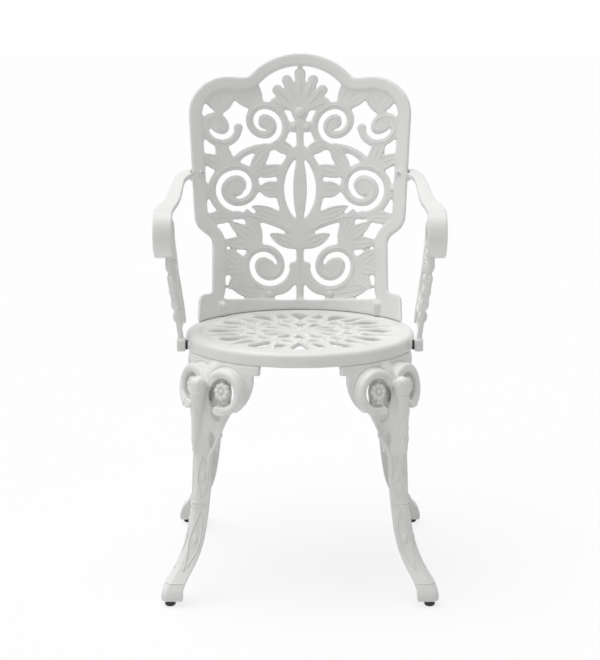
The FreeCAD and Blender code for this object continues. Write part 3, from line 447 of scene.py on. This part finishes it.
def leaf_lines(foot, tip, broad, first=0.22):
    """Midrib of a flat leaf and the two lines that follow its edges."""
    length = math.dist(foot, tip)
    bearing = math.degrees(math.atan2(tip[1] - foot[1], tip[0] - foot[0]))
    half = broad / 2
    bend = (length ** 2 / 4 + half ** 2) / (2 * half)
    lines = [along_line(foot, tip, first, MIDRIB_END, LEAF_STEPS)]
    for side in (90, -90):
        edge = []
        for step, spot in enumerate(along_line(foot, tip, first, EDGE_LINE_END, LEAF_STEPS)):
            share = first + (EDGE_LINE_END - first) * step / LEAF_STEPS
            swell = math.sqrt(bend ** 2 - (length * (share - 0.5)) ** 2) - bend + half
            edge.append(flat_point(swell * EDGE_LINE_OUT, bearing + side, spot))
        lines.append(edge)
    return lines


def flipped(lines):
    """Flat lines with their copies across the middle."""
    return lines + [[(-across, up) for across, up in line] for line in lines]


# Back: flat places in millimetres right of the middle and above the seat, along the slope

# Scrolls: centre, radius, start, sense and number of half circles
SCROLL_STEP = 11.9
BACK_SCROLLS = (
    ((57, 82), 45, 180, 1, 4),
    ((118, 222), 46, 270, 1, 4),
    ((67, 345), 40, 270, -1, 4),
    ((147, 341), 31, 180, 1, 3),
)
# Curved stalks between the scrolls: centre, radius, start and end
BACK_ARCS = (
    ((118, -24), 200, 92, 124),
    ((67, 235), 70, 38, 88),
)
# Sprays: foot, bearings of the leaves, their length and their width
BACK_SPRAYS = (
    ((98, 80), (-52, -10, 32), 56, 24),
    ((72, 122), (2, 34, 66), 74, 25),
    ((130, 262), (22, 66), 62, 27),
    ((146, 366), (54, 106), 62, 27),
    ((74, 378), (28, 70), 68, 25),
)
# Single leaves: foot, tip and width
BACK_LEAVES = (
    ((57, 26), (130, 40), 26),
    ((0, 116), (58, 142), 24),
    ((118, 174), (184, 166), 24),
    ((24, 170), (92, 194), 22),
    ((30, 226), (78, 226), 32),
    ((22, 268), (90, 254), 25),
    ((94, 258), (57, 308), 25),
    ((10, 298), (54, 314), 24),
)
# The lines of a spray's leaf start this far along it
SPRAY_LINE_START = 0.34
# Stems on the middle line: lower and upper end
BACK_STEMS = ((24, 112), (318, 356), (166, 292))
# Palmette: foot, top of its middle petal, and lean and length of the others
PALMETTE_FOOT = (0, 372)
PALMETTE_TOP = (0, 446)
PALMETTE_PETALS = ((22, 66), (45, 60), (68, 50))
# Where the petals' lines start and end along them
PETAL_LINE = (0.4, 1.05)
TOP_PETAL_LINE = (0.35, 1.02)
# Balls: places, and half width, half height and rise
BACK_BALLS = ((57, 28), (172, 222), (13, 345))
BACK_BALL = (6.5, 6.5, 3.2)
PALMETTE_BALL = (10, 10, 4)
# Thickness of each kind of bead and how deep it is sunk
VEIN = 2.3
VEIN_SINK = 0.3
SCROLL_BEAD = 3.0
SCROLL_SINK = 0.4
# Rise within one short step that tells the frame band from the pierced work
FRAME_STEP = 2.2 * MM


def back_ray(across, up):
    """Ray from in front of the back, square to its slope."""
    place = BACK_FOOT + Vector((across * MM, 0, 0)) + RISE * up * MM
    return place + FORWARD * FAR, -FORWARD


def make_back_relief():
    """Veins of the leaves, beads on the scrolls and stems, and small balls."""
    tree = surface("back_panel")
    veins = []
    for foot, tip, broad in BACK_LEAVES:
        veins += leaf_lines(foot, tip, broad)
    for foot, bearings, length, broad in BACK_SPRAYS:
        for bearing in bearings:
            veins += leaf_lines(foot, flat_point(length, bearing, foot), broad, SPRAY_LINE_START)
    runs = []
    for line in flipped(veins):
        runs += landed(tree, [back_ray(*spot) for spot in line], VEIN_SINK, FRAME_STEP)
    beads("back_veins", runs, VEIN)

    bands = [along_volute(centre, radius, start, sense, SCROLL_STEP, halves)
             for centre, radius, start, sense, halves in BACK_SCROLLS]
    bands += [along_arc(*arc) for arc in BACK_ARCS]
    for lean, length in PALMETTE_PETALS:
        tip = flat_point(length, 90 - lean, PALMETTE_FOOT)
        bands.append(along_line(PALMETTE_FOOT, tip, *PETAL_LINE))
    bands = flipped(bands)
    bands.append(along_line(PALMETTE_FOOT, PALMETTE_TOP, *TOP_PETAL_LINE))
    bands += [along_line((0, bottom), (0, top)) for bottom, top in BACK_STEMS]
    runs = []
    for line in bands:
        runs += landed(tree, [back_ray(*spot) for spot in line], SCROLL_SINK)
    beads("back_scroll_beads", runs, SCROLL_BEAD)

    seats = [(back_ray(*PALMETTE_FOOT), *PALMETTE_BALL)]
    for side in (1, -1):
        seats += [(back_ray(side * across, up), *BACK_BALL) for across, up in BACK_BALLS]
    bosses("back_bosses", tree, seats)


# Knees and legs: places from the leg's stem or ridge and above the floor, in millimetres

# Wings of the knee: their turn from the leg's diagonal, and where they meet
KNEE_TURN = 22
KNEE_PIVOT = 222
KNEE_SCROLL = (35.9, 360.1)
KNEE_SCROLL_RADIUS = 30.7
KNEE_SCROLL_ARC = (-102, 152)
KNEE_TUBE = 15.5
KNEE_TUBE_SINK = 4.6
# Line round the outside of the scroll: its distance and its start and end
KNEE_OUTLINE_OUT = 11
KNEE_OUTLINE_ARC = (-48, 165)
# Leaf inside the scroll: bearings of its foot and tip, its width, and where its lines start
KNEE_LEAF_FOOT = 100
KNEE_LEAF_TIP = -78
KNEE_LEAF_WIDTH = 15
KNEE_LEAF_START = 0.2
KNEE_ROSETTE = 16
KNEE_ROSETTE_LIFT = 7
# Line down the strip below the scroll
KNEE_STRIP = [
    along_line((48, 330), (35, 304), steps=8),
    along_line((35, 304), (25, 256), steps=12),
]
# The strip runs out on the leg's flank: in from the ridge and above the floor
KNEE_TAIL_START = KNEE_STRIP[1][3:11]
KNEE_TAIL = ((27, 246), (27, 238), (26, 230), (25, 222), (24, 214))
KNEE_TAIL_WIDTH = 8
KNEE_TAIL_SINK = 2
# Lens on the stem: its top, length and half width, and the two collars above it
STEM_LENS = (346, 80, 9)
STEM_COLLARS = (352, 358)
STEM_HALF = 12
# Ridge of the leg, both ways from the seat centre, at heights above the floor
RIDGE = (
    (406, 146), (370, 163), (331, 174), (283, 180), (216, 180.5),
    (141, 187), (85, 200), (55, 215), (32, 230), (10, 233),
)
# Panels on each flank: bottom and top, with a boss in each; all lie this far in from the ridge
FLANK_MIDDLE = 17
PANEL_HALF = 9
LEG_PANELS = ((178, 250), (58, 156))
LEG_BOSSES = ((214, 9), (108, 10))
LEG_BOSS_HALF = 4.5
LEG_BOSS_RISE = 2.2
# Lines right round the leg, from near the ridge to the edges of the flanks
GIRDLES = (163, 169, 40)
GIRDLE_INSET = 31
GIRDLE_RIDGE = 5
LEG_LINE = 2.8
KNEE_LINE_SINK = 0.2
FLANK_OFF = 60


def at_corner(corner, along, lateral, up):
    """Place given along a leg's diagonal, to its side and above the floor."""
    turn = Matrix.Rotation(math.radians(CORNER_ANGLES[corner]), 3, "Z")
    place = SEAT + turn @ Vector((along * MM, lateral * MM, 0))
    return Vector((place.x, place.y, up * MM))


def toward(corner, angle):
    """Level direction at an angle from a leg's diagonal."""
    turn = math.radians(CORNER_ANGLES[corner] + angle)
    return Vector((math.cos(turn), math.sin(turn), 0))


def knee_ray(corner, side, lateral, up):
    """Ray square to one wing of the knee."""
    out = toward(corner, KNEE_TURN * side)
    across = toward(corner, KNEE_TURN * side + 90 * side)
    start = at_corner(corner, KNEE_PIVOT, 0, up) + across * lateral * MM
    return start + out * FAR, -out


def stem_ray(corner, lateral, up):
    """Ray square to the stem of the knee."""
    return at_corner(corner, KNEE_PIVOT, lateral, up) + toward(corner, 0) * FAR, -toward(corner, 0)


def ridge_at(up):
    """Ridge of the leg at a height, between the heights it is given at."""
    for (high, near), (low, far) in zip(RIDGE, RIDGE[1:]):
        if low <= up <= high:
            return near + (far - near) * (high - up) / (high - low)
    return RIDGE[-1][1]


def flank_ray(corner, side, inset, up):
    """Ray square to one flank of the leg, this far in from its ridge."""
    out = toward(corner, 45 * side)
    ridge = at_corner(corner, ridge_at(up) * math.sqrt(2), 0, up)
    start = ridge + toward(corner, 135 * side) * inset * MM
    return start + out * FLANK_OFF * MM, -out


def girdle(corner, up):
    """Rays round the outside of a leg at one height."""
    steps = 8
    insets = [GIRDLE_INSET - (GIRDLE_INSET - GIRDLE_RIDGE) * step / steps for step in range(steps + 1)]
    rays = [flank_ray(corner, -1, inset, up) for inset in insets]
    return rays + [flank_ray(corner, 1, inset, up) for inset in reversed(insets)]


def panel(corner, side, bottom, top):
    """Rays round a long panel on a flank, pointed at both ends."""
    steps = 24
    ups = [bottom + (top - bottom) * step / steps for step in range(steps + 1)]
    swell = [PANEL_HALF * math.sin(math.pi * step / steps) for step in range(steps + 1)]
    there = [flank_ray(corner, side, FLANK_MIDDLE - out, up) for up, out in zip(ups, swell)]
    back = [flank_ray(corner, side, FLANK_MIDDLE + out, up) for up, out in zip(ups, swell)]
    return there + back[-2:0:-1]


def knee_lines():
    """Flat fine lines on one wing of the knee."""
    foot = flat_point(KNEE_SCROLL_RADIUS, KNEE_LEAF_FOOT, KNEE_SCROLL)
    tip = flat_point(KNEE_SCROLL_RADIUS, KNEE_LEAF_TIP, KNEE_SCROLL)
    lines = leaf_lines(foot, tip, KNEE_LEAF_WIDTH, KNEE_LEAF_START)
    lines.append(along_arc(KNEE_SCROLL, KNEE_SCROLL_RADIUS + KNEE_OUTLINE_OUT, *KNEE_OUTLINE_ARC, 40))
    return lines + KNEE_STRIP


def lens_side(side):
    """Flat line down one side of the lens on the stem."""
    top, length, half = STEM_LENS
    steps = 16
    return [(side * half * math.sin(math.pi * step / steps), top - length * step / steps)
            for step in range(steps + 1)]


def tail_places(tree, corner, side):
    """Places where the strip of a knee runs out on the leg."""
    rays = [knee_ray(corner, side, *spot) for spot in KNEE_TAIL_START]
    rays += [flank_ray(corner, side, *spot) for spot in KNEE_TAIL]
    places = [tree.ray_cast(*ray)[0] for ray in rays]
    return [place + ray[1] * KNEE_TAIL_SINK * MM for place, ray in zip(places, rays) if place]


def make_leg_relief(corner):
    """Scrolls and flowers of the knee, and lines, panels and bosses down the leg."""
    tree = surface(corner + "_leg")
    tubes = []
    tails = []
    fine = []
    loops = []
    seats = []
    flowers = []
    scroll = along_arc(KNEE_SCROLL, KNEE_SCROLL_RADIUS, *KNEE_SCROLL_ARC, 40)
    for side in (1, -1):
        tubes += landed(tree, [knee_ray(corner, side, *spot) for spot in scroll], KNEE_TUBE_SINK)
        tails.append(tail_places(tree, corner, side))
        for line in knee_lines():
            fine += landed(tree, [knee_ray(corner, side, *spot) for spot in line], KNEE_LINE_SINK)
        fine += landed(tree, [stem_ray(corner, *spot) for spot in lens_side(side)], KNEE_LINE_SINK)
        flowers.append((knee_ray(corner, side, *KNEE_SCROLL), KNEE_ROSETTE))
        for bottom, top in LEG_PANELS:
            loops += landed(tree, panel(corner, side, bottom, top), 0)
        for up, tall in LEG_BOSSES:
            spot = flank_ray(corner, side, FLANK_MIDDLE, up)
            seats.append((spot, LEG_BOSS_HALF, tall, LEG_BOSS_RISE))
    for up in GIRDLES:
        fine += landed(tree, girdle(corner, up), 0)
    for up in STEM_COLLARS:
        collar = [stem_ray(corner, lateral, up) for lateral in range(-STEM_HALF, STEM_HALF + 1, 2)]
        fine += landed(tree, collar, KNEE_LINE_SINK)
    beads(corner + "_knee_scrolls", tubes, KNEE_TUBE)
    beads(corner + "_knee_tails", tails, KNEE_TAIL_WIDTH)
    beads(corner + "_leg_lines", fine, LEG_LINE)
    beads(corner + "_leg_panels", loops, LEG_LINE, closed=True)
    bosses(corner + "_leg_bosses", tree, seats)
    rosettes(corner + "_knee_rosettes", tree, flowers, KNEE_ROSETTE_LIFT)


# Seat: places in millimetres from its centre

SEAT_SECTORS = 12
# Drop-shaped windows of one sector: tip and head from the centre, half width of the head, and bearing
SEAT_DROPS = ((30, 59, 9, 0), (97, 143, 15, 0), (162, 122, 9, 15))
# Round window of one sector: its place from the centre, radius and bearing
SEAT_HOLE = (88, 8, 15)
SEAT_RINGS = (12, 24.5)
# Short petal lines between the rings: first and last place
SEAT_PETAL = (13, 23)
# Studs: place from the centre, bearings in the sector, half width and rise
SEAT_STUDS = ((82, (0,), 4.5, 2.4), (104, (7.5, -7.5), 3.4, 2))
SEAT_BUTTON = (8, 8, 3)
# Lips lie this far outside the windows, and farther at a drop's tip
LIP_OUT = 3.2
LIP_TIP = 1.6
LIP = 2.2
LIP_SINK = 0.1
SEAT_OFF = 50


def seat_ray(across, behind):
    """Ray straight down on the seat."""
    return SEAT + Vector((across, behind, SEAT_OFF)) * MM, Vector((0, 0, -1))


def drop_loop(tip, head, radius, bearing):
    """Flat loop a little outside a drop-shaped window."""
    sense = 1 if tip > head else -1
    centre = flat_point(head, bearing)
    lean = math.degrees(math.acos(radius / abs(tip - head)))
    way = bearing if sense > 0 else bearing + 180
    arc = along_arc(centre, radius + LIP_OUT, way + lean, way + 360 - lean, 18)
    point = flat_point(tip + sense * LIP_OUT * LIP_TIP, bearing)
    return arc + along_line(arc[-1], point)[1:] + along_line(point, arc[0])[1:-1]


def make_seat_relief():
    """Lips round the windows, rings and petals in the middle, and studs between the windows."""
    tree = surface("seat_plate")
    loops = [[flat_point(radius, angle) for angle in range(0, 360, 4)] for radius in SEAT_RINGS]
    petals = []
    seats = [(seat_ray(0, 0), *SEAT_BUTTON)]
    for sector in range(SEAT_SECTORS):
        turn = sector * 360 / SEAT_SECTORS
        for tip, head, radius, bearing in SEAT_DROPS:
            loops.append(drop_loop(tip, head, radius, bearing + turn))
        reach, radius, bearing = SEAT_HOLE
        hole = flat_point(reach, bearing + turn)
        loops.append([flat_point(radius + LIP_OUT, angle, hole) for angle in range(0, 360, 20)])
        first, last = SEAT_PETAL
        petal = [seat_ray(*flat_point(reach, turn)) for reach in range(first, last + 1, 2)]
        petals += landed(tree, petal, LIP_SINK)
        for reach, bearings, half, rise in SEAT_STUDS:
            for bearing in bearings:
                spot = seat_ray(*flat_point(reach, turn + bearing))
                seats.append((spot, half, half, rise))
    runs = []
    for loop in loops:
        runs += landed(tree, [seat_ray(*spot) for spot in loop], LIP_SINK)
    beads("seat_lips", runs, LIP, closed=True)
    beads("seat_petals", petals, LIP)
    bosses("seat_studs", tree, seats)


# Arms: places in millimetres behind the seat centre and above the seat

ARM_FOOT = -60
# Rays start outside the support, inside the strap's outer edge, or from between the arms
ARM_OUTSIDE = 243
ARM_INSIDE = 120
# Scroll of the support: centre, radius, start, sense, step and number of half circles
ARM_HEART = (ARM_FOOT + 44, 70)
ARM_SCROLL = (ARM_HEART, 44, 180, -1, 8, 4)
ARM_LEAVES = (
    ((ARM_FOOT, 40), (ARM_FOOT - 24, 112), 20),
    ((ARM_FOOT + 86, 70), (ARM_FOOT + 78, 6), 18),
    ((ARM_FOOT + 2, 84), (ARM_FOOT + 2, 150), 18),
)
ARM_HEART_BOSS = (7, 7, 2.6)
# Row of bosses up the stem of the support
ARM_ROW = (34, 56, 78, 100, 122)
ARM_ROW_BOSS = (5, 9, 4)
ARM_FLOWER = (ARM_FOOT + 24, 127)
ARM_FLOWER_RADIUS = 12
ARM_LINE = 2.2
ARM_LINE_SINK = 0.2


def arm_ray(side, face, behind, up):
    """Ray across the chair onto the outer or inner face of an arm's support."""
    start = side * (ARM_OUTSIDE if face > 0 else ARM_INSIDE)
    return SEAT + Vector((start, behind, up)) * MM, Vector((-side * face, 0, 0))


def make_arm_relief(arm, side):
    """Lines, bosses and flowers on both faces of an arm's support."""
    tree = surface(arm)
    lines = [along_volute(*ARM_SCROLL)]
    for leaf in ARM_LEAVES:
        lines += leaf_lines(*leaf)
    fine = []
    seats = []
    flowers = []
    for face in (1, -1):
        for line in lines:
            fine += landed(tree, [arm_ray(side, face, *spot) for spot in line], ARM_LINE_SINK)
        flowers.append((arm_ray(side, face, *ARM_FLOWER), ARM_FLOWER_RADIUS))
        seats.append((arm_ray(side, face, *ARM_HEART), *ARM_HEART_BOSS))
        seats += [(arm_ray(side, face, ARM_FOOT, up), *ARM_ROW_BOSS) for up in ARM_ROW]
    beads(arm + "_beads", fine, ARM_LINE)
    bosses(arm + "_bosses", tree, seats)
    rosettes(arm + "_rosettes", tree, flowers)


make_castings()
make_back_relief()
for corner in CORNERS:
    make_leg_relief(corner)
make_seat_relief()
make_arm_relief("right_arm", 1)
make_arm_relief("left_arm", -1)


# Bought-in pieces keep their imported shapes

def dress(packed, slot):
    """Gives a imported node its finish."""
    for holder in packed.material_slots:
        holder.material = FINISHES[slot]


for name, packed in NODES.items():
    if name.endswith("_glide"):
        dress(packed, "black_nylon")
    elif name.endswith("_spacer"):
        dress(packed, "black_rubber")
    elif name.endswith("_screw") or name in CASTINGS:
        dress(packed, "powder_coat")
    else:
        dress(packed, "zinc_steel")


# Floor, light and camera

FLOOR_HALF = 30
# Share of the floor's white that the eye sees without light
PAPER_GLOW = 0.8
FILL = 0.26
# Lamps: strength, spread in degrees and the direction they shine from
LAMPS = {
    "overhead": (2.4, 60, (-0.24, 0.05, 0.97)),
    "left": (0.34, 40, (-0.88, -0.45, 0.25)),
    "right": (0.18, 40, (0.88, -0.45, 0.25)),
}
# The photograph's viewpoint: a little above the crest, looking down on the chair
PICTURE = (600, 660)
FOCAL_PIXELS = 1561.3
VIEWPOINT = (0.0, -2.7415, 0.9898)
LOOK_DOWN = 11.69


def seen_by_eye(tree):
    """One for rays from the eye and for mirrored and refracted ones, nothing for the rest."""
    path = add_node(tree, "ShaderNodeLightPath")
    seen = add_node(tree, "ShaderNodeMath", {"operation": "MAXIMUM"},
                    links={0: path.outputs["Is Camera Ray"], 1: path.outputs["Is Glossy Ray"]})
    seen = add_node(tree, "ShaderNodeMath", {"operation": "MAXIMUM"},
                    links={0: seen.outputs[0], 1: path.outputs["Is Transmission Ray"]})
    return seen.outputs[0]


def pale_floor():
    """Matt studio paper: near white, a little lit from within to the eye, with the chair's shadow."""
    material, tree, place, output = new_material("pale_studio_paper")
    mottle = add_node(tree, "ShaderNodeTexNoise", values={"Scale": per_metre(400), "Detail": 3.0},
                      links={"Vector": place})
    tone = add_node(tree, "ShaderNodeValToRGB", links={"Fac": mottle.outputs["Fac"]})
    tone.color_ramp.elements[0].color = linear("F2F2F2")
    tone.color_ramp.elements[1].color = linear("F6F6F6")
    lit = add_node(tree, "ShaderNodeBsdfDiffuse", links={"Color": tone.outputs["Color"]})
    white = add_node(tree, "ShaderNodeEmission", values={"Color": linear("FFFFFF"), "Strength": 1.0})
    paper = add_node(tree, "ShaderNodeMixShader", values={0: PAPER_GLOW},
                     links={1: lit.outputs[0], 2: white.outputs[0]})
    bounce = add_node(tree, "ShaderNodeBsdfDiffuse", values={"Color": linear("E6E6E6")})
    both = add_node(tree, "ShaderNodeMixShader",
                    links={0: seen_by_eye(tree), 1: bounce.outputs[0], 2: paper.outputs[0]})
    tree.links.new(both.outputs[0], output.inputs["Surface"])
    return material


def make_stage():
    """Wide flat floor of studio paper."""
    shape = bmesh.new()
    bmesh.ops.create_grid(shape, x_segments=1, y_segments=1, size=FLOOR_HALF)
    mesh = bpy.data.meshes.new("floor")
    shape.to_mesh(mesh)
    shape.free()
    mesh.materials.append(pale_floor())
    floor = bpy.data.objects.new("floor", mesh)
    bpy.context.scene.collection.objects.link(floor)


def make_world():
    """White to the eye and to reflections, a gentle fill for the rest."""
    world = bpy.data.worlds.new("studio")
    world.use_nodes = True
    tree = world.node_tree
    tree.nodes.clear()
    dim = add_node(tree, "ShaderNodeBackground", values={"Color": linear("FFFFFF"), "Strength": FILL})
    white = add_node(tree, "ShaderNodeBackground", values={"Color": linear("FFFFFF"), "Strength": 1.0})
    both = add_node(tree, "ShaderNodeMixShader",
                    links={0: seen_by_eye(tree), 1: dim.outputs[0], 2: white.outputs[0]})
    add_node(tree, "ShaderNodeOutputWorld", links={"Surface": both.outputs[0]})
    bpy.context.scene.world = world


def make_lamps():
    """Distant lamps with soft shadows."""
    for name, (strength, spread, source) in LAMPS.items():
        lamp = bpy.data.lights.new(name, "SUN")
        lamp.energy = strength
        lamp.angle = math.radians(spread)
        holder = bpy.data.objects.new(name, lamp)
        holder.rotation_euler = Vector(source).to_track_quat("Z", "Y").to_euler()
        bpy.context.scene.collection.objects.link(holder)


def make_camera():
    """Camera at the photograph's viewpoint."""
    data = bpy.data.cameras.new("camera")
    data.sensor_width = 36
    data.lens = FOCAL_PIXELS * data.sensor_width / max(PICTURE)
    data.clip_end = 100
    camera = bpy.data.objects.new("camera", data)
    camera.location = VIEWPOINT
    camera.rotation_euler = Euler((math.radians(90 - LOOK_DOWN), 0, 0))
    bpy.context.scene.collection.objects.link(camera)
    bpy.context.scene.camera = camera


make_stage()
make_world()
make_lamps()
make_camera()
bpy.context.scene.view_settings.view_transform = "Standard"
